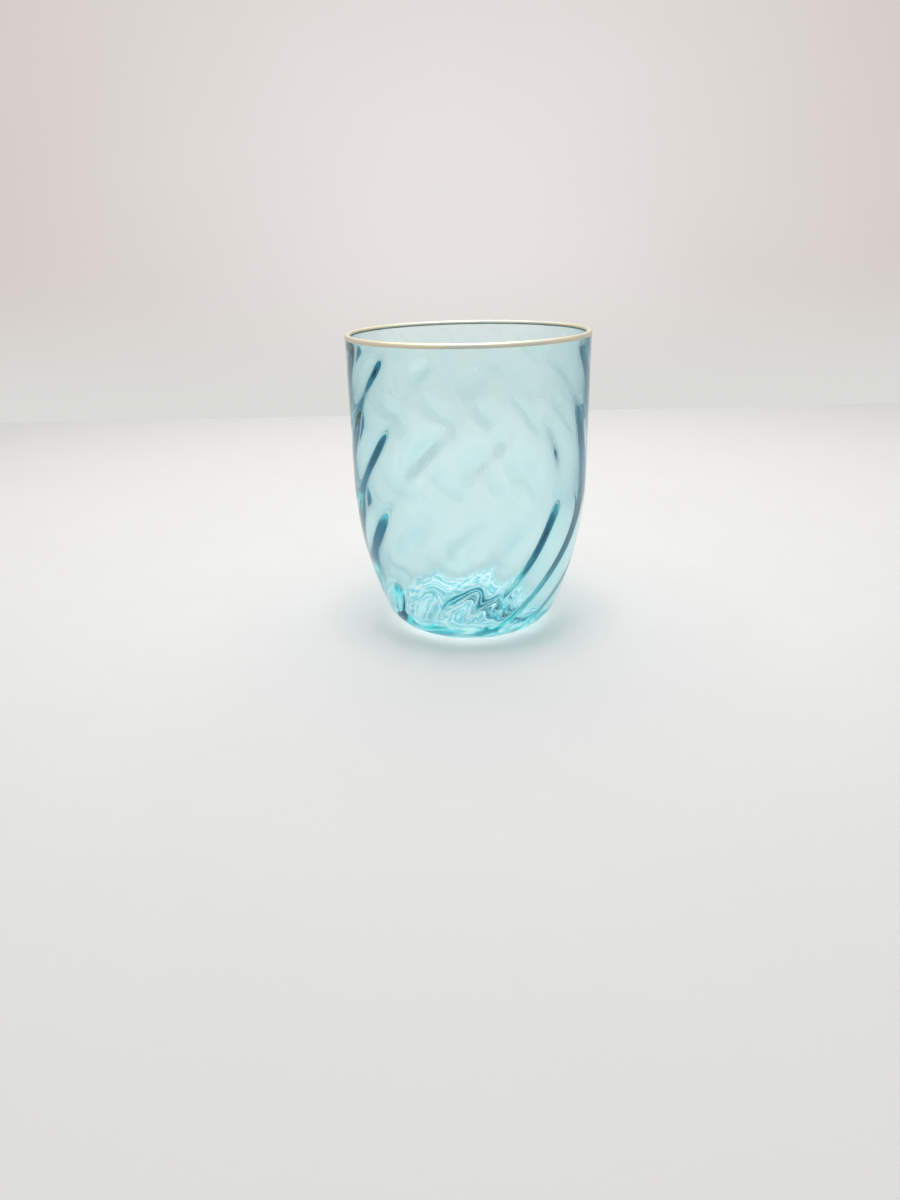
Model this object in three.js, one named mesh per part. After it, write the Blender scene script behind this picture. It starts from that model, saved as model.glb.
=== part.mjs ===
// Aqua tumbler of blown optic glass with a gilded rim.
// Millimetres, +Z up. The origin is the middle of the foot, on the table.
import * as THREE from 'three';

// Outside of the glass
const HEIGHT = 100;
const RIM_RADIUS = 40;
const SHOULDER_HEIGHT = 54; // the upper wall runs into the bowl here
const SHOULDER_DRAFT = 0.4; // the upper wall opens by this much from the shoulder to the rim
const BOWL_RADIUS = 118; // side arc from the shoulder down to the heel
const HEEL_RADIUS = 12; // rounding between the bowl and the table
const STAND_WIDTH = 3; // flat ring that touches the table
const KICK_DEPTH = 1.4; // hollow under the foot

// Inside of the glass, in the grooves between the ribs
const RIM_WALL = 1.8;
const SHOULDER_WALL = 1.9;
const FLOOR_HEIGHT = 3; // top of the floor above the table
const INNER_HEEL_RADIUS = 11;

// Optic ribs on the inside wall. Round most of the wall they lean. On one side they are bowed instead, with
// the bend at the shoulder. Angles are taken from the front, which is -Y, towards the right.
const RIB_COUNT = 13;
const LEAN_TURN = THREE.MathUtils.degToRad(107); // of a leaning rib from the lip to the floor
const LEAN_START = THREE.MathUtils.degToRad(-45.5); // one of the leaning ribs starts here at the lip
const BOW_TURN = THREE.MathUtils.degToRad(57); // of a bowed rib from the shoulder to the floor
const BOW_START = THREE.MathUtils.degToRad(49); // one of the bowed ribs passes the shoulder here
const BOWED_SIDE = THREE.MathUtils.degToRad(60); // middle of the side with bowed ribs
const LEAN_DEPTH_WALL = 1.4; // from groove to crest
const LEAN_DEPTH_BOWL = 0.8;
const BOW_DEPTH_WALL = 0.7;
const BOW_DEPTH_BOWL = 2.6;
const DEPTH_CHANGE = 20; // height below the shoulder over which the depth changes
const RIB_RUN_IN = 8; // height below the lip over which the ribs rise

// Gilding fired over the lip
const GILD_SKIRT_OUTSIDE = 0.8; // below the rounding of the lip
const GILD_SKIRT_INSIDE = 0.4;
const GILD_THICKNESS = 0.25;
const GILD_CLEARANCE = 0.05; // between the gilding and the lip under it

// Fineness of the facets
const COLUMNS_PER_RIB = 6;
const KICK_STEPS = 3;
const HEEL_STEPS = 5;
const BOWL_STEPS = 12;
const WALL_STEPS = 13;
const FLOOR_STEPS = 3;
const LIP_STEPS = 4;

const COLUMNS = 4 * Math.ceil((RIB_COUNT * COLUMNS_PER_RIB) / 4); // by fours, for a square box
const SHOULDER_RADIUS = RIM_RADIUS - SHOULDER_DRAFT;
const LIP_RADIUS = RIM_WALL / 2;
const LIP_CENTRE = new THREE.Vector2(RIM_RADIUS - LIP_RADIUS, HEIGHT - LIP_RADIUS);
const BOWL_CENTRE = new THREE.Vector2(SHOULDER_RADIUS - BOWL_RADIUS, SHOULDER_HEIGHT);
const REBATE = GILD_THICKNESS + GILD_CLEARANCE;
const OUTER_SHELF = LIP_CENTRE.y - GILD_SKIRT_OUTSIDE;
const INNER_SHELF = LIP_CENTRE.y - GILD_SKIRT_INSIDE;

const aquaGlass = new THREE.MeshStandardMaterial({
  color: 0xa9dbe0,
  roughness: 0.04,
  metalness: 0,
  transparent: true,
  opacity: 0.5,
});
const paleGold = new THREE.MeshStandardMaterial({
  color: 0xc2b48c,
  roughness: 0.3,
  metalness: 1,
});

function arc(centre, radius, start, end, steps) {
  const clockwise = end < start;
  const curve = new THREE.EllipseCurve(centre.x, centre.y, radius, radius, start, end, clockwise);
  return curve.getPoints(steps);
}

function line(start, end, steps) {
  return new THREE.LineCurve(start, end).getPoints(steps);
}

// Joins stretches of a profile and drops the repeated point where two of them meet.
function join(...stretches) {
  const points = [];
  for (const point of stretches.flat()) {
    const last = points.at(-1);
    if (!last || last.distanceTo(point) > 1e-6) points.push(point);
  }
  return points;
}

// Side of the bowl from the edge of a floor up to the shoulder: a heel that is tangent to the floor and
// to the bowl's arc, then the arc itself.
function bowlSide(bowlRadius, heelRadius, floorHeight) {
  const heelHeight = floorHeight + heelRadius;
  const drop = SHOULDER_HEIGHT - heelHeight;
  const reach = Math.sqrt((bowlRadius - heelRadius) ** 2 - drop ** 2);
  const heelCentre = new THREE.Vector2(BOWL_CENTRE.x + reach, heelHeight);
  const touch = Math.atan2(-drop, reach);
  return join(
    arc(heelCentre, heelRadius, -Math.PI / 2, touch, HEEL_STEPS),
    arc(BOWL_CENTRE, bowlRadius, touch, 0, BOWL_STEPS),
  );
}

// Hollow under the foot, from the axis out to the stand ring.
function kick(kickRadius) {
  const domeRadius = (kickRadius ** 2 + KICK_DEPTH ** 2) / (2 * KICK_DEPTH);
  const centre = new THREE.Vector2(0, KICK_DEPTH - domeRadius);
  const edge = Math.atan2(-centre.y, kickRadius);
  return arc(centre, domeRadius, Math.PI / 2, edge, KICK_STEPS);
}

// Radius of the outside wall between the shoulder and the lip.
function wallRadius(height) {
  const share = (height - SHOULDER_HEIGHT) / (LIP_CENTRE.y - SHOULDER_HEIGHT);
  return THREE.MathUtils.lerp(SHOULDER_RADIUS, RIM_RADIUS, share);
}

// Half-round section over the lip, a given depth under the finished surface, from outside to inside.
function overLip(depth) {
  const outerFoot = new THREE.Vector2(wallRadius(OUTER_SHELF) - depth, OUTER_SHELF);
  const innerFoot = new THREE.Vector2(RIM_RADIUS - RIM_WALL + depth, INNER_SHELF);
  return join([outerFoot], arc(LIP_CENTRE, LIP_RADIUS - depth, 0, Math.PI, LIP_STEPS), [innerFoot]);
}

// Turns a profile, in radius and height, about the vertical axis.
function revolve(profile) {
  return new THREE.LatheGeometry(profile, COLUMNS).rotateX(Math.PI / 2);
}

// Height of the rib surface over the wall of the grooves.
function ribRise(radius, height, angle, floorRadius) {
  const { lerp, smoothstep } = THREE.MathUtils;
  const bowed = Math.max(0, Math.cos(angle - BOWED_SIDE)) ** 2;
  const descent = (INNER_SHELF - height) / (INNER_SHELF - FLOOR_HEIGHT);
  const leanWave = Math.cos(RIB_COUNT * (angle - LEAN_START + LEAN_TURN * descent));
  const bend = ((SHOULDER_HEIGHT - height) / (SHOULDER_HEIGHT - FLOOR_HEIGHT)) ** 2;
  const bowWave = Math.cos(RIB_COUNT * (angle - BOW_START + BOW_TURN * bend));
  const wave = (1 + lerp(leanWave, bowWave, bowed)) / 2;
  const bowlDepth = lerp(LEAN_DEPTH_BOWL, BOW_DEPTH_BOWL, bowed);
  const wallDepth = lerp(LEAN_DEPTH_WALL, BOW_DEPTH_WALL, bowed);
  const climb = smoothstep(height, SHOULDER_HEIGHT - DEPTH_CHANGE, SHOULDER_HEIGHT);
  const runIn = smoothstep(INNER_SHELF - height, 0, RIB_RUN_IN);
  const runOut = Math.min(1, radius / floorRadius);
  return lerp(bowlDepth, wallDepth, climb) * runIn * runOut * wave;
}

// Raises the ribs on the cavity rows of the revolved body.
function raiseRibs(geometry, profile, firstCavityRow, floorRadius) {
  const { position, normal } = geometry.attributes;
  const point = new THREE.Vector3();
  const out = new THREE.Vector3();
  for (let index = 0; index < position.count; index += 1) {
    const row = index % profile.length;
    if (row < firstCavityRow) continue;
    const { x: radius, y: height } = profile[row];
    const column = (index - row) / profile.length;
    const angle = (column / COLUMNS) * 2 * Math.PI;
    point.fromBufferAttribute(position, index);
    out.fromBufferAttribute(normal, index);
    point.addScaledVector(out, ribRise(radius, height, angle, floorRadius));
    position.setXYZ(index, point.x, point.y, point.z);
  }
  return geometry;
}

function makeGlassBody() {
  const outerSide = bowlSide(BOWL_RADIUS, HEEL_RADIUS, 0);
  const standRadius = outerSide[0].x;
  const innerSide = bowlSide(BOWL_RADIUS - SHOULDER_WALL, INNER_HEEL_RADIUS, FLOOR_HEIGHT);
  const floorEdge = innerSide[0];
  const cavityTop = new THREE.Vector2(RIM_RADIUS - RIM_WALL, INNER_SHELF);
  const outside = join(
    kick(standRadius - STAND_WIDTH),
    outerSide,
    [new THREE.Vector2(wallRadius(OUTER_SHELF), OUTER_SHELF)],
    overLip(REBATE),
  );
  const cavity = join(
    line(cavityTop, innerSide.at(-1), WALL_STEPS),
    innerSide.toReversed(),
    line(floorEdge, new THREE.Vector2(0, FLOOR_HEIGHT), FLOOR_STEPS),
  );
  const profile = [...outside, ...cavity];
  return raiseRibs(revolve(profile), profile, outside.length, floorEdge.x);
}

function makeGildedRim() {
  const outside = overLip(0);
  const underside = overLip(GILD_THICKNESS).toReversed();
  return revolve([...outside, ...underside, outside[0].clone()]);
}

function piece(name, geometry, material) {
  const mesh = new THREE.Mesh(geometry, material);
  mesh.name = name;
  return mesh;
}

const tumbler = new THREE.Group();
tumbler.add(piece('glass_body', makeGlassBody(), aquaGlass));
tumbler.add(piece('gilded_rim', makeGildedRim(), paleGold));

export default tumbler;
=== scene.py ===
"""Aqua tumbler of blown optic glass with a gilded rim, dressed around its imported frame."""
import math

import bpy
from mathutils import Matrix, Vector


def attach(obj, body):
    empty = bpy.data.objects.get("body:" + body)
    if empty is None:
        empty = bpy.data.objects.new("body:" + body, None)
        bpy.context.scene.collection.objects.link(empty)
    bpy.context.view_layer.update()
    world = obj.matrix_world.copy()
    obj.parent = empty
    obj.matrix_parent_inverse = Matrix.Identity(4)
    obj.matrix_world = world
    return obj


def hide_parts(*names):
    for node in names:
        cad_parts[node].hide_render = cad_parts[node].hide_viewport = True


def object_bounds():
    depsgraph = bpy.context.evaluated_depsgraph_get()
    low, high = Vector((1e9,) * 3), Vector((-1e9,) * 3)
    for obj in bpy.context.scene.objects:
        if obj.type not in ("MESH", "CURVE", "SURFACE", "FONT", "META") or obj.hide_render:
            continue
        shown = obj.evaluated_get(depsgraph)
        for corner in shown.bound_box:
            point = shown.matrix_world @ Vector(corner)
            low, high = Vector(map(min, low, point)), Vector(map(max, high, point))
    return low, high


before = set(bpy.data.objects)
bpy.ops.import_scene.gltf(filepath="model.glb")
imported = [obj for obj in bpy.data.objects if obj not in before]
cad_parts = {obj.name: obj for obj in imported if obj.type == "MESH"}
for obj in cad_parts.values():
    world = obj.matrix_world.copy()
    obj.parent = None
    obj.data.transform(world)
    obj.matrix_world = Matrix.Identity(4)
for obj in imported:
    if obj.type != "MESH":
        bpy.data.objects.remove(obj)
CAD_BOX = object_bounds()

MM = 0.001
QUARTER_TURN = math.pi / 2
FULL_TURN = 2 * math.pi

# Outside of the glass, from the frame where it gives the size
RIM_RADIUS = CAD_BOX[1].x
HEIGHT = CAD_BOX[1].z
SHOULDER_HEIGHT = 54 * MM
SHOULDER_DRAFT = 0.4 * MM
BOWL_RADIUS = 118 * MM
HEEL_RADIUS = 12 * MM
STAND_WIDTH = 3 * MM  # flat ring that touches the table
KICK_DEPTH = 1.4 * MM  # hollow under the foot

# Inside of the glass, in the grooves between the ribs
RIM_WALL = 1.8 * MM
SHOULDER_WALL = 1.9 * MM
FLOOR_HEIGHT = 3 * MM
INNER_HEEL_RADIUS = 11 * MM

# Optic ribs on the inside wall. Round most of the wall they lean, and on one side they are bowed instead,
# with the bend at the shoulder. Angles are taken from the front, which is -Y, towards the right.
RIB_COUNT = 13
LEAN_TURN = math.radians(107)  # of a leaning rib from the lip to the floor
LEAN_START = math.radians(-45.5)  # one of the leaning ribs starts about here at the lip
LEAN_SKEW_WALL = -0.5  # makes one flank of a rib steeper than the other
LEAN_SKEW_BOWL = 0.2
BOW_TURN = math.radians(57)  # of a bowed rib from the shoulder to the floor
BOW_START = math.radians(49)  # one of the bowed ribs passes the shoulder about here
BOW_SKEW = 0.5
BOWED_SIDE = math.radians(60)  # middle of the side with bowed ribs
LEAN_DEPTH_WALL = 1.4 * MM  # from groove to crest
LEAN_DEPTH_BOWL = 1.2 * MM
BOW_DEPTH_WALL = 0.7 * MM
BOW_DEPTH_BOWL = 2.6 * MM
DEPTH_CHANGE = 20 * MM  # height below the shoulder over which the depth changes
RIB_RUN_IN = 9 * MM  # height below the lip over which the ribs rise
FADE_BELOW_FLOOR = 3 * MM  # the leaning ribs fade out between these two heights
FADE_ABOVE_FLOOR = 9 * MM
RIB_SHARPNESS = 1.6

# Slow waves round and up the wall, which make the ribs sway and their depth uneven
RIB_SWAY = math.radians(1.1)
SWAY_CLIMB = 17 * MM
SWAY_FALL = 23 * MM
RIB_UNEVENNESS = 0.2
PATCH_CLIMB = 31 * MM
PATCH_FALL = 14 * MM

# The ribs swell and thin along their length, apart from the bowed ones on the bowl.
SWELL_SHARE = 0.8
SWELL_STEP = 27 * MM  # from one swelling to the next
SWELL_TOP = 94 * MM  # height of the highest swelling
SWELL_SHARPNESS = 1.5

# Gilding over the lip
GILD_SKIRT_OUTSIDE = 0.6 * MM  # below the rounding of the lip
GILD_SKIRT_INSIDE = 0.25 * MM
GILD_FILM = 0.08 * MM  # thickness of the gold
GILD_SEAT = 0.1 * MM  # how far the lip lies under the finished surface

# Fineness of the meshes
COLUMNS = 260
KICK_STEPS = 12
HEEL_STEPS = 24
BOWL_STEPS = 50
WALL_STEPS = 56
FLOOR_STEPS = 20
LIP_STEPS = 14
SAME_POINT = 0.001 * MM
MERGE_DISTANCE = 0.002 * MM

# Camera, in the frame of the glass
CAMERA_PLACE = Vector((-7.8, -304.2, 127.7)) * MM
CAMERA_PITCH = math.radians(21.85)
CAMERA_ROLL = math.radians(-1.3)
CAMERA_NEAR = 10 * MM
PHOTO_HEIGHT = 1200
FOCAL_PIXELS = 901

# Light. What was mirrored on its way through the glass, mostly inside the wall, shows a painted dark teal
# reflection in place of the room.
ROOM_LIGHT = 0.2
ROOM_SEEN = (0.8, 0.8, 0.79)
PAINTED_DARK_REFLECTION = (0, 0.17, 0.26)
SOFT_LAMP_POWER = 4.7
SOFT_LAMP_SIZE = 1
SOFT_LAMP_PLACE = (0, 0.15, 0.8)
BULB_POWER = 1.9
BULB_SIZE = 0.2
BULB_PLACE = (0, -0.08, 0.8)
LAMP_SHARE_THROUGH_GLASS = (0.85, 0.7, 0.7)
LIGHT_BOUNCES = 40

# Painted caustics: light and teal shade that glow on the table under the foot, seen through it
PAINTED_CAUSTIC_LIGHT = (1, 1, 1)
PAINTED_CAUSTIC_SHADE = (0.28, 0.69, 0.78)

# Finishes
GLASS_TINT = (0.02, 0.91, 0.93)
GLASS_TINT_DENSITY = 74
GOLD_FULL = (0.74, 0.68, 0.51)
GOLD_WORN = (0.65, 0.66, 0.6)
# The table is painted darker towards the front and lighter towards the back, following the light on it
TABLE_NEAR = (0.8, 0.795, 0.785)
TABLE_BACK_PAINTED_LIGHT = (0.94, 0.94, 0.925)
# The wall's colours paint a pool of light in its middle, with painted shade towards its edges and at its foot
WALL_PAINTED_GLOW = (0.8, 0.765, 0.745)
WALL_EDGE_PAINTED_SHADE = (0.66, 0.605, 0.585)
WALL_FOOT_PAINTED_SHADE = (0.71, 0.71, 0.68)
WALL_THROUGH_GLASS = (0.78, 0.78, 0.76)

# Stage
BACKDROP_DISTANCE = 410 * MM
STAGE_HALF_WIDTH = 3
STAGE_FRONT = -2
BACKDROP_HEIGHT = 0.5
TABLE_DEPTH = (-0.2, 0.4)  # from front to back, where painted light brightens the table towards the wall
WALL_GLOW_HEIGHT = 0.15  # the painted pool of light on the wall is palest round this height
WALL_GLOW_REACH = (0.05, 0.45)
WALL_LOW_HEIGHT = 0.12

# Distances from the glass, each one a stretch over which the table changes
PAINTED_CAUSTIC_REACH = (30 * MM, 50 * MM)  # the painted caustic light ends
TURNED_REACH = (40 * MM, 75 * MM)  # light that was turned starts to show the painted dark reflection
TURNED_DEPTH = (-100 * MM, -60 * MM)  # it does so behind this line alone
PALE_REACH = (0.55, 0.9)  # the table starts to show at its own brightness

SHOULDER_RADIUS = RIM_RADIUS - SHOULDER_DRAFT
LIP_RADIUS = RIM_WALL / 2
LIP_CENTRE = (RIM_RADIUS - LIP_RADIUS, HEIGHT - LIP_RADIUS)
BOWL_CENTRE = (SHOULDER_RADIUS - BOWL_RADIUS, SHOULDER_HEIGHT)
OUTER_SHELF = LIP_CENTRE[1] - GILD_SKIRT_OUTSIDE
INNER_SHELF = LIP_CENTRE[1] - GILD_SKIRT_INSIDE


# Profiles, as lists of (radius, height)

def arc(centre, radius, start, end, steps):
    turns = [start + (end - start) * step / steps for step in range(steps + 1)]
    return [(centre[0] + radius * math.cos(turn), centre[1] + radius * math.sin(turn)) for turn in turns]


def line(start, end, steps):
    shares = [step / steps for step in range(steps + 1)]
    return [(start[0] + (end[0] - start[0]) * s, start[1] + (end[1] - start[1]) * s) for s in shares]


def join(*stretches):
    """Strings stretches together and drops the repeated point where two of them meet."""
    points = []
    for stretch in stretches:
        for point in stretch:
            if not points or math.dist(points[-1], point) > SAME_POINT:
                points.append(point)
    return points


def bowl_side(bowl_radius, heel_radius, floor_height):
    """From the edge of a floor up to the shoulder: a heel tangent to both, then the side of the bowl."""
    heel_height = floor_height + heel_radius
    drop = SHOULDER_HEIGHT - heel_height
    reach = math.sqrt((bowl_radius - heel_radius) ** 2 - drop ** 2)
    heel_centre = (BOWL_CENTRE[0] + reach, heel_height)
    touch = math.atan2(-drop, reach)
    return join(
        arc(heel_centre, heel_radius, -QUARTER_TURN, touch, HEEL_STEPS),
        arc(BOWL_CENTRE, bowl_radius, touch, 0, BOWL_STEPS),
    )


def kick(kick_radius):
    """Hollow under the foot, from the axis out to the stand ring."""
    dome_radius = (kick_radius ** 2 + KICK_DEPTH ** 2) / (2 * KICK_DEPTH)
    centre = (0, KICK_DEPTH - dome_radius)
    return arc(centre, dome_radius, QUARTER_TURN, math.atan2(-centre[1], kick_radius), KICK_STEPS)


def wall_radius(height):
    share = (height - SHOULDER_HEIGHT) / (LIP_CENTRE[1] - SHOULDER_HEIGHT)
    return SHOULDER_RADIUS + (RIM_RADIUS - SHOULDER_RADIUS) * share


def over_lip(depth):
    """Half-round section over the lip, a given depth under the finished surface, from outside to inside."""
    outer_foot = (wall_radius(OUTER_SHELF) - depth, OUTER_SHELF)
    inner_foot = (RIM_RADIUS - RIM_WALL + depth, INNER_SHELF)
    return join([outer_foot], arc(LIP_CENTRE, LIP_RADIUS - depth, 0, math.pi, LIP_STEPS), [inner_foot])


# Modelling by operators

def only(piece):
    bpy.ops.object.select_all(action="DESELECT")
    piece.select_set(True)
    bpy.context.view_layer.objects.active = piece


def drawn_profile(name, profile):
    """A chain of edges in the XZ plane: one vertex of a small plane, extruded from point to point."""
    bpy.ops.object.select_all(action="DESELECT")
    bpy.ops.mesh.primitive_plane_add(size=MM)
    piece = bpy.context.object
    piece.name = name
    piece.data.name = name
    bpy.ops.object.mode_set(mode="EDIT")
    bpy.ops.mesh.merge(type="CENTER")
    bpy.ops.transform.translate(value=(profile[0][0], 0, profile[0][1]))
    for here, there in zip(profile, profile[1:]):
        step = (there[0] - here[0], 0, there[1] - here[1])
        bpy.ops.mesh.extrude_region_move(TRANSFORM_OT_translate={"value": step})
    bpy.ops.object.mode_set(mode="OBJECT")
    return piece


def spin_round(piece):
    """Turns a drawn profile about the vertical axis into a closed skin that faces outwards."""
    only(piece)
    bpy.ops.object.mode_set(mode="EDIT")
    bpy.ops.mesh.select_all(action="SELECT")
    bpy.ops.mesh.spin(steps=COLUMNS, angle=FULL_TURN, center=(0, 0, 0), axis=(0, 0, 1))
    bpy.ops.mesh.select_all(action="SELECT")
    bpy.ops.mesh.remove_doubles(threshold=MERGE_DISTANCE)
    bpy.ops.mesh.normals_make_consistent(inside=False)
    bpy.ops.object.mode_set(mode="OBJECT")
    bpy.ops.object.shade_smooth()


def smooth_step(value, low, high):
    share = min(1, max(0, (value - low) / (high - low)))
    return share * share * (3 - 2 * share)


def mix(low, high, share):
    return low + (high - low) * share


# Glass body

def slow_waves(angle, height, climb, fall):
    """Two waves round the wall, of which one climbs and the other falls."""
    return math.sin(2 * angle + height / climb), math.sin(3 * angle - height / fall)


def rib_wave(angle, height, bowed, climb):
    """0 in a groove between two ribs and 1 on the crest of a rib."""
    place = angle + RIB_SWAY * sum(slow_waves(angle, height, SWAY_CLIMB, SWAY_FALL))
    descent = (INNER_SHELF - height) / (INNER_SHELF - FLOOR_HEIGHT)
    lean = RIB_COUNT * (place - LEAN_START + LEAN_TURN * descent)
    lean += mix(LEAN_SKEW_BOWL, LEAN_SKEW_WALL, climb) * math.cos(lean)
    bend = ((SHOULDER_HEIGHT - height) / (SHOULDER_HEIGHT - FLOOR_HEIGHT)) ** 2
    bow = RIB_COUNT * (place - BOW_START + BOW_TURN * bend)
    bow += BOW_SKEW * math.cos(bow)
    wave = (1 + mix(math.cos(lean), math.cos(bow), bowed)) / 2
    return wave ** RIB_SHARPNESS


def rib_depth(angle, height, bowed, climb):
    """Height of the nearest rib's crest over the grooves."""
    bowl_depth = mix(LEAN_DEPTH_BOWL, BOW_DEPTH_BOWL, bowed)
    wall_depth = mix(LEAN_DEPTH_WALL, BOW_DEPTH_WALL, bowed)
    uneven = 1 + RIB_UNEVENNESS * math.prod(slow_waves(angle, height, PATCH_CLIMB, PATCH_FALL))
    swell = ((1 + math.cos(FULL_TURN * (height - SWELL_TOP) / SWELL_STEP)) / 2) ** SWELL_SHARPNESS
    thinned = 1 - SWELL_SHARE * (1 - swell) * (1 - bowed * (1 - climb))
    return mix(bowl_depth, wall_depth, climb) * uneven * thinned


def rib_rise(point, floor_radius):
    """Height of the rib surface over a point of the wall between the ribs."""
    angle = math.atan2(point.x, -point.y)
    height = point.z
    bowed = max(0, math.cos(angle - BOWED_SIDE)) ** 2
    climb = smooth_step(height, SHOULDER_HEIGHT - DEPTH_CHANGE, SHOULDER_HEIGHT)
    run_in = smooth_step(INNER_SHELF - height, 0, RIB_RUN_IN)
    faded = smooth_step(height, FLOOR_HEIGHT - FADE_BELOW_FLOOR, FLOOR_HEIGHT + FADE_ABOVE_FLOOR)
    run_out = min(1, math.hypot(point.x, point.y) / floor_radius) * mix(faded, 1, bowed)
    rib = rib_depth(angle, height, bowed, climb) * rib_wave(angle, height, bowed, climb)
    return rib * run_in * run_out


def raise_ribs(body, cavity, floor_radius):
    """Moves the cavity along its normals by the height of the ribs. A weight ends at 1, so the push
    reaches well past the deepest rib."""
    deepest = 2 * max(BOW_DEPTH_BOWL, LEAN_DEPTH_WALL)
    for vertex in body.data.vertices:
        if vertex.groups:
            cavity.add([vertex.index], rib_rise(vertex.co, floor_radius) / deepest, "REPLACE")
    only(body)
    push = body.modifiers.new("ribs", "DISPLACE")
    push.vertex_group = cavity.name
    push.strength = deepest
    push.mid_level = 0
    bpy.ops.object.modifier_apply(modifier=push.name)
    body.vertex_groups.clear()


def make_glass_body():
    outer_side = bowl_side(BOWL_RADIUS, HEEL_RADIUS, 0)
    stand_radius = outer_side[0][0]
    inner_side = bowl_side(BOWL_RADIUS - SHOULDER_WALL, INNER_HEEL_RADIUS, FLOOR_HEIGHT)
    floor_edge = inner_side[0]
    lip = over_lip(GILD_SEAT)
    outside = join(
        kick(stand_radius - STAND_WIDTH),
        outer_side,
        line(outer_side[-1], lip[0], WALL_STEPS // 2),
        lip,
    )
    inside = join(
        line(lip[-1], inner_side[-1], WALL_STEPS)[1:],
        inner_side[::-1],
        line(floor_edge, (0, FLOOR_HEIGHT), FLOOR_STEPS),
    )
    profile = outside + inside
    body = drawn_profile("glass_wall", profile)
    cavity = body.vertex_groups.new(name="cavity")
    cavity.add(range(len(outside), len(profile)), 1, "REPLACE")
    spin_round(body)
    raise_ribs(body, cavity, floor_edge[0])
    return body


# Gilding

def make_gilding():
    section = over_lip(0) + over_lip(GILD_FILM)[::-1]
    film = drawn_profile("gold_line", section + section[:1])
    spin_round(film)
    return film


# Shader nodes

class Value:
    """A number that a node gives, for sums written as Python expressions."""

    def __init__(self, paint, socket):
        self.paint = paint
        self.socket = socket

    def sum(self, operation, first, second):
        return self.paint.node("Math", {"operation": operation}, {0: first, 1: second})

    def __add__(self, other):
        return self.sum("ADD", self, other)

    def __sub__(self, other):
        return self.sum("SUBTRACT", self, other)

    def __rsub__(self, other):
        return self.sum("SUBTRACT", other, self)

    def __mul__(self, other):
        return self.sum("MULTIPLY", self, other)

    def __gt__(self, other):
        return self.sum("GREATER_THAN", self, other)

    __radd__ = __add__
    __rmul__ = __mul__


class Paint:
    """The nodes of a new material or world, with one method that adds a node."""

    def __init__(self, owner, output="OutputMaterial"):
        self.owner = owner
        self.output = output
        owner.use_nodes = True
        self.tree = owner.node_tree
        self.tree.nodes.clear()

    def node(self, kind, settings=None, values=None, output=0):
        made = self.tree.nodes.new("ShaderNode" + kind)
        for name, setting in (settings or {}).items():
            setattr(made, name, setting)
        for name, value in (values or {}).items():
            if isinstance(value, Value):
                self.tree.links.new(value.socket, made.inputs[name])
            else:
                made.inputs[name].default_value = value
        return Value(self, made.outputs[output])

    def finish(self, surface, volume=None):
        outputs = {"Surface": surface}
        if volume:
            outputs["Volume"] = volume
        made = self.tree.nodes.new("ShaderNode" + self.output)
        for name, value in outputs.items():
            self.tree.links.new(value.socket, made.inputs[name])
        return self.owner

    def place(self):
        return self.node("TexCoord", output="Object")

    def height(self, place):
        return self.node("SeparateXYZ", values={"Vector": place}, output="Z")

    def distance(self, place, centre):
        settings = {"operation": "DISTANCE"}
        return self.node("VectorMath", settings, {0: place, 1: centre}, output="Value")

    def noise(self, place, scale, detail):
        return self.node("TexNoise", values={"Vector": place, "Scale": scale, "Detail": detail}, output="Fac")

    def ramp(self, value, low, high):
        """0 below low and 1 above high, with a smooth change between them."""
        settings = {"interpolation_type": "SMOOTHSTEP"}
        return self.node("MapRange", settings, {"Value": value, "From Min": low, "From Max": high})

    def blend(self, share, first, second):
        """From the first colour to the second, each one a plain colour or a node's."""
        colours = [colour if isinstance(colour, Value) else (*colour, 1) for colour in (first, second)]
        values = {"Factor": share, 6: colours[0], 7: colours[1]}
        return self.node("Mix", {"data_type": "RGBA"}, values, output=2)

    def bump(self, height, distance):
        return self.node("Bump", values={"Height": height, "Distance": distance})

    def ray(self, name):
        return self.node("LightPath", output=name)

    def seen(self):
        """1 for light on its way to the camera, straight or by way of metal and glass."""
        return self.ray("Is Camera Ray") + self.ray("Is Glossy Ray") + self.ray("Is Transmission Ray")

    def turned(self):
        """1 for light that came through the glass and was mirrored on its way, mostly inside the wall."""
        return self.ray("Is Transmission Ray") * (self.ray("Glossy Depth") > 0)

    def either(self, share, first, second):
        return self.node("MixShader", values={0: share, 1: first, 2: second})


def new_paint(name):
    return Paint(bpy.data.materials.new(name))


# Finishes

def make_aqua_glass():
    """Clear glass, tinted through its thickness, softly rippled, and scuffed where it stands."""
    paint = new_paint("aqua_glass")
    place = paint.place()
    height = paint.height(place)
    stand = 1 - paint.ramp(height, low=0.1 * MM, high=0.5 * MM)
    scuffs = stand * paint.noise(place, scale=900, detail=3)
    streaks = paint.noise(place, scale=70, detail=2)
    foot = 1 - paint.ramp(height, low=3 * MM, high=12 * MM)
    worked = foot * paint.noise(place, scale=110, detail=0)
    ripples = paint.noise(place, scale=55, detail=1) + worked * 2.5
    glass = paint.node("BsdfPrincipled", values={
        "Base Color": paint.blend(streaks, (1, 1, 1), (0.97, 0.99, 1)),
        "Roughness": scuffs * 0.35,
        "IOR": 1.5,
        "Transmission Weight": 1,
        "Normal": paint.bump(ripples, distance=0.04 * MM),
    })
    clear = paint.node("BsdfTransparent", values={"Color": (*LAMP_SHARE_THROUGH_GLASS, 1)})
    tint = paint.node("VolumeAbsorption", values={"Color": (*GLASS_TINT, 1), "Density": GLASS_TINT_DENSITY})
    return paint.finish(paint.either(paint.ray("Is Shadow Ray"), glass, clear), tint)


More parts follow.
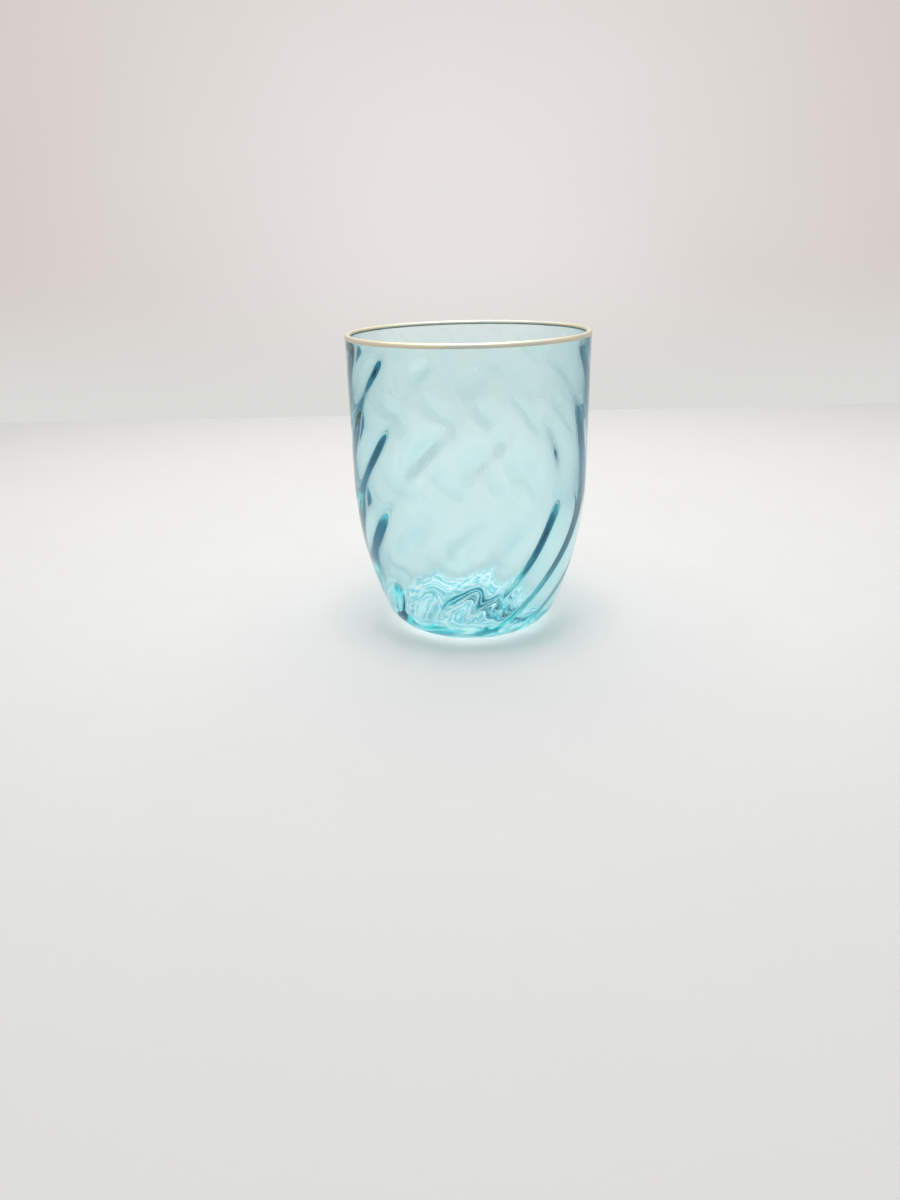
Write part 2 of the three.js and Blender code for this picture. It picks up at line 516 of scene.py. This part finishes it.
def make_pale_gold():
    """Pale gold brushed on thinly, so that it is uneven and worn in places."""
    paint = new_paint("pale_gold")
    place = paint.place()
    brushing = paint.noise(place, scale=160, detail=4)
    wear = paint.ramp(paint.noise(place, scale=45, detail=2), low=0.35, high=0.7)
    gold = paint.node("BsdfPrincipled", values={
        "Base Color": paint.blend(wear, GOLD_FULL, GOLD_WORN),
        "Metallic": 0.9 - wear * 0.2,
        "Roughness": 0.4 + brushing * 0.25,
        "Normal": paint.bump(brushing, distance=0.02 * MM),
    })
    return paint.finish(gold)


def make_table_white():
    """Matt white, painted darker towards the front and lighter towards the back. Through the foot it glows
    with painted caustic light and shade. Round and behind the glass, light that was turned inside the wall
    shows a painted dark teal reflection. Far away it stays pale."""
    paint = new_paint("table_white")
    place = paint.place()
    mottle = paint.noise(place, scale=25, detail=3)
    # Painted light: the table's colour brightens from front to back
    depth = paint.node("SeparateXYZ", values={"Vector": place}, output="Y")
    painted_back_light = paint.ramp(depth + mottle * 0.1, *TABLE_DEPTH)
    table = paint.node("BsdfPrincipled", values={
        "Base Color": paint.blend(painted_back_light, TABLE_NEAR, TABLE_BACK_PAINTED_LIGHT),
        "Roughness": 0.65 + mottle * 0.1,
        "Specular IOR Level": 0.2,
    })
    reach = paint.distance(place, (0, 0, 0))
    pale = paint.node("Emission", values={"Color": (*TABLE_NEAR, 1)})
    table = paint.either(paint.seen() * paint.ramp(reach, *PALE_REACH), table, pale)
    # Painted dark reflection: turned light round and behind the glass sees a dark teal glow, not the lit
    # table
    painted_dark = paint.node("Emission", values={"Color": (*PAINTED_DARK_REFLECTION, 1)})
    painted_dark_share = paint.ramp(depth, *TURNED_DEPTH) * paint.ramp(reach, *TURNED_REACH)
    outside = paint.either(paint.turned() * painted_dark_share, table, painted_dark)
    # Painted caustics: a glowing pattern of light and teal shade on the table under the foot, seen only
    # through the glass
    painted_sparkle = paint.ramp(paint.noise(place, scale=260, detail=2), low=0.38, high=0.6)
    painted_caustics = paint.node("Emission", values={"Color": paint.blend(painted_sparkle, PAINTED_CAUSTIC_SHADE, PAINTED_CAUSTIC_LIGHT)})
    under = paint.ray("Is Transmission Ray") * (1 - paint.ramp(reach, *PAINTED_CAUSTIC_REACH))
    return paint.finish(paint.either(under, outside, painted_caustics))


def make_wall_white():
    """Matt wall that the camera, metal and glass see at its own brightness, whatever light falls on it. Its
    colour is a painted pool of light in the middle, with painted shade towards the edges and at the foot.
    """
    paint = new_paint("wall_white")
    place = paint.place()
    mottle = paint.noise(place, scale=6, detail=3)
    # Painted light: palest round a spot low in the middle, painted shade towards the edges and at the foot
    from_glow = paint.distance(place, (0, BACKDROP_DISTANCE, WALL_GLOW_HEIGHT))
    edge = paint.ramp(from_glow + mottle * 0.1, *WALL_GLOW_REACH)
    colour = paint.blend(edge, WALL_PAINTED_GLOW, WALL_EDGE_PAINTED_SHADE)
    colour = paint.blend(paint.ramp(paint.height(place), 0, WALL_LOW_HEIGHT), WALL_FOOT_PAINTED_SHADE, colour)
    matt = paint.node("BsdfDiffuse", values={"Color": colour})
    through = paint.blend(paint.ray("Is Transmission Ray"), colour, WALL_THROUGH_GLASS)
    shown = paint.node("Emission", values={"Color": through})
    # Painted dark reflection: turned light sees the wall as a dark teal glow
    painted_dark = paint.node("Emission", values={"Color": (*PAINTED_DARK_REFLECTION, 1)})
    return paint.finish(paint.either(paint.turned(), paint.either(paint.seen(), matt, shown), painted_dark))


# Stage, light and camera

def make_sheet(name, corners, material):
    mesh = bpy.data.meshes.new(name)
    mesh.from_pydata(corners, [], [range(len(corners))])
    sheet = bpy.data.objects.new(name, mesh)
    bpy.context.scene.collection.objects.link(sheet)
    mesh.materials.append(material)


def make_stage():
    wide, front, back, top = STAGE_HALF_WIDTH, STAGE_FRONT, BACKDROP_DISTANCE, BACKDROP_HEIGHT
    floor = [(-wide, front, 0), (wide, front, 0), (wide, back, 0), (-wide, back, 0)]
    backdrop = [(-wide, back, 0), (wide, back, 0), (wide, back, top), (-wide, back, top)]
    make_sheet("floor", floor, make_table_white())
    make_sheet("backdrop", backdrop, make_wall_white())


def make_room():
    """Even light all round, which looks pale to the camera, metal and glass. Once it was turned it shows a
    painted dark teal reflection.
    """
    world = bpy.data.worlds.new("soft_room")
    bpy.context.scene.world = world
    paint = Paint(world, "OutputWorld")
    even = paint.node("Background", values={"Color": (1, 1, 1, 1), "Strength": ROOM_LIGHT})
    pale = paint.node("Background", values={"Color": (*ROOM_SEEN, 1)})
    # Painted dark reflection for turned light
    painted_dark = paint.node("Background", values={"Color": (*PAINTED_DARK_REFLECTION, 1)})
    paint.finish(paint.either(paint.turned(), paint.either(paint.seen(), even, pale), painted_dark))


def make_lamp(name, power, size, place):
    lamp = bpy.data.lights.new(name, "AREA")
    lamp.size = size
    lamp.energy = power
    hung = bpy.data.objects.new(name, lamp)
    hung.location = place
    bpy.context.scene.collection.objects.link(hung)


def make_camera():
    camera = bpy.data.objects.new("camera", bpy.data.cameras.new("camera"))
    bpy.context.scene.collection.objects.link(camera)
    camera.data.lens = camera.data.sensor_width * FOCAL_PIXELS / PHOTO_HEIGHT
    camera.data.clip_start = CAMERA_NEAR
    tilt = Matrix.Rotation(QUARTER_TURN - CAMERA_PITCH, 4, "X") @ Matrix.Rotation(CAMERA_ROLL, 4, "Z")
    camera.matrix_world = Matrix.Translation(CAMERA_PLACE) @ tilt
    bpy.context.scene.camera = camera


def dress(piece, node, material):
    piece.data.materials.append(material)
    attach(piece, "root")
    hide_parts(node)


scene = bpy.context.scene
scene.view_settings.view_transform = "Standard"
scene.cycles.max_bounces = LIGHT_BOUNCES
scene.cycles.transmission_bounces = LIGHT_BOUNCES
scene.cycles.glossy_bounces = LIGHT_BOUNCES
make_camera()
make_stage()
make_room()
make_lamp("soft_lamp", SOFT_LAMP_POWER, SOFT_LAMP_SIZE, SOFT_LAMP_PLACE)
make_lamp("bulb", BULB_POWER, BULB_SIZE, BULB_PLACE)
dress(make_glass_body(), "glass_body", make_aqua_glass())
dress(make_gilding(), "gilded_rim", make_pale_gold())
